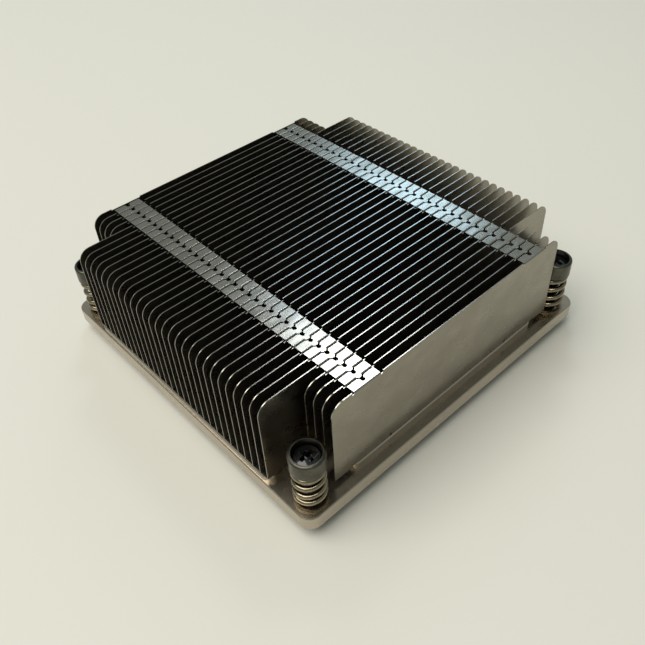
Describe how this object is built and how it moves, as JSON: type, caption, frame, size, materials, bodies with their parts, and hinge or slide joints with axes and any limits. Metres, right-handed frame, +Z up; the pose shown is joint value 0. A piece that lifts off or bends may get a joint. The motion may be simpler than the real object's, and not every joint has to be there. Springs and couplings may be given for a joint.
{
  "type": "passive server cpu heatsink",
  "caption": "Low passive heatsink for a square server processor socket: folded fins locked together on a stepped base plate with spring-loaded captive corner screws.",
  "frame": {"origin": "bottom centre of the bounding box: middle of the base, at the height of the four screw tips", "axes": "+Z up through the fins, X along the fins, Y through the fin stack from front (-Y) to back (+Y)"},
  "size_m": [0.09, 0.09, 0.0302],
  "materials": {
    "plated_base": "satin nickel plating",
    "fin_aluminium": "bare rolled sheet",
    "plated_sleeve": "turned and plated",
    "black_screw": "black plating, glossy",
    "spring_steel": "bright drawn wire",
    "ring_steel": "dark phosphated"
  },
  "bodies": {
    "heatsink": {"base_plate": "plated_base", "fin_01": "fin_aluminium", "fin_02": "fin_aluminium", "fin_03": "fin_aluminium", "fin_04": "fin_aluminium", "fin_05": "fin_aluminium", "fin_06": "fin_aluminium", "fin_07": "fin_aluminium", "fin_08": "fin_aluminium", "fin_09": "fin_aluminium", "fin_10": "fin_aluminium", "fin_11": "fin_aluminium", "fin_12": "fin_aluminium", "fin_13": "fin_aluminium", "fin_14": "fin_aluminium", "fin_15": "fin_aluminium", "fin_16": "fin_aluminium", "fin_17": "fin_aluminium", "fin_18": "fin_aluminium", "fin_19": "fin_aluminium", "fin_20": "fin_aluminium", "fin_21": "fin_aluminium", "fin_22": "fin_aluminium", "fin_23": "fin_aluminium", "fin_24": "fin_aluminium", "fin_25": "fin_aluminium", "fin_26": "fin_aluminium", "fin_27": "fin_aluminium", "fin_28": "fin_aluminium", "fin_29": "fin_aluminium", "fin_30": "fin_aluminium", "fin_31": "fin_aluminium", "fin_32": "fin_aluminium", "fin_33": "fin_aluminium", "fin_34": "fin_aluminium", "fin_35": "fin_aluminium", "fin_36": "fin_aluminium", "spring_front_left": "spring_steel", "spring_front_right": "spring_steel", "spring_back_left": "spring_steel", "spring_back_right": "spring_steel"},
    "sleeve_front_left": {"screw_sleeve_front_left": "plated_sleeve"},
    "screw_front_left": {"screw_front_left": "black_screw", "retaining_ring_front_left": "ring_steel"},
    "sleeve_front_right": {"screw_sleeve_front_right": "plated_sleeve"},
    "screw_front_right": {"screw_front_right": "black_screw", "retaining_ring_front_right": "ring_steel"},
    "sleeve_back_left": {"screw_sleeve_back_left": "plated_sleeve"},
    "screw_back_left": {"screw_back_left": "black_screw", "retaining_ring_back_left": "ring_steel"},
    "sleeve_back_right": {"screw_sleeve_back_right": "plated_sleeve"},
    "screw_back_right": {"screw_back_right": "black_screw", "retaining_ring_back_right": "ring_steel"}
  },
  "joints": [
    {"name": "press_front_left", "type": "slide", "parent": "heatsink", "child": "sleeve_front_left", "axis": [0, 0, 1], "range_m": [-0.003, 0], "stiffness_N_per_m": 3000, "deforming": ["spring_front_left"]},
    {"name": "turn_front_left", "type": "hinge", "parent": "sleeve_front_left", "child": "screw_front_left", "pos_m": [-0.04, -0.04, 0], "axis": [0, 0, 1], "continuous": true},
    {"name": "press_front_right", "type": "slide", "parent": "heatsink", "child": "sleeve_front_right", "axis": [0, 0, 1], "range_m": [-0.003, 0], "stiffness_N_per_m": 3000, "deforming": ["spring_front_right"]},
    {"name": "turn_front_right", "type": "hinge", "parent": "sleeve_front_right", "child": "screw_front_right", "pos_m": [0.04, -0.04, 0], "axis": [0, 0, 1], "continuous": true},
    {"name": "press_back_left", "type": "slide", "parent": "heatsink", "child": "sleeve_back_left", "axis": [0, 0, 1], "range_m": [-0.003, 0], "stiffness_N_per_m": 3000, "deforming": ["spring_back_left"]},
    {"name": "turn_back_left", "type": "hinge", "parent": "sleeve_back_left", "child": "screw_back_left", "pos_m": [-0.04, 0.04, 0], "axis": [0, 0, 1], "continuous": true},
    {"name": "press_back_right", "type": "slide", "parent": "heatsink", "child": "sleeve_back_right", "axis": [0, 0, 1], "range_m": [-0.003, 0], "stiffness_N_per_m": 3000, "deforming": ["spring_back_right"]},
    {"name": "turn_back_right", "type": "hinge", "parent": "sleeve_back_right", "child": "screw_back_right", "pos_m": [0.04, 0.04, 0], "axis": [0, 0, 1], "continuous": true}
  ]
}
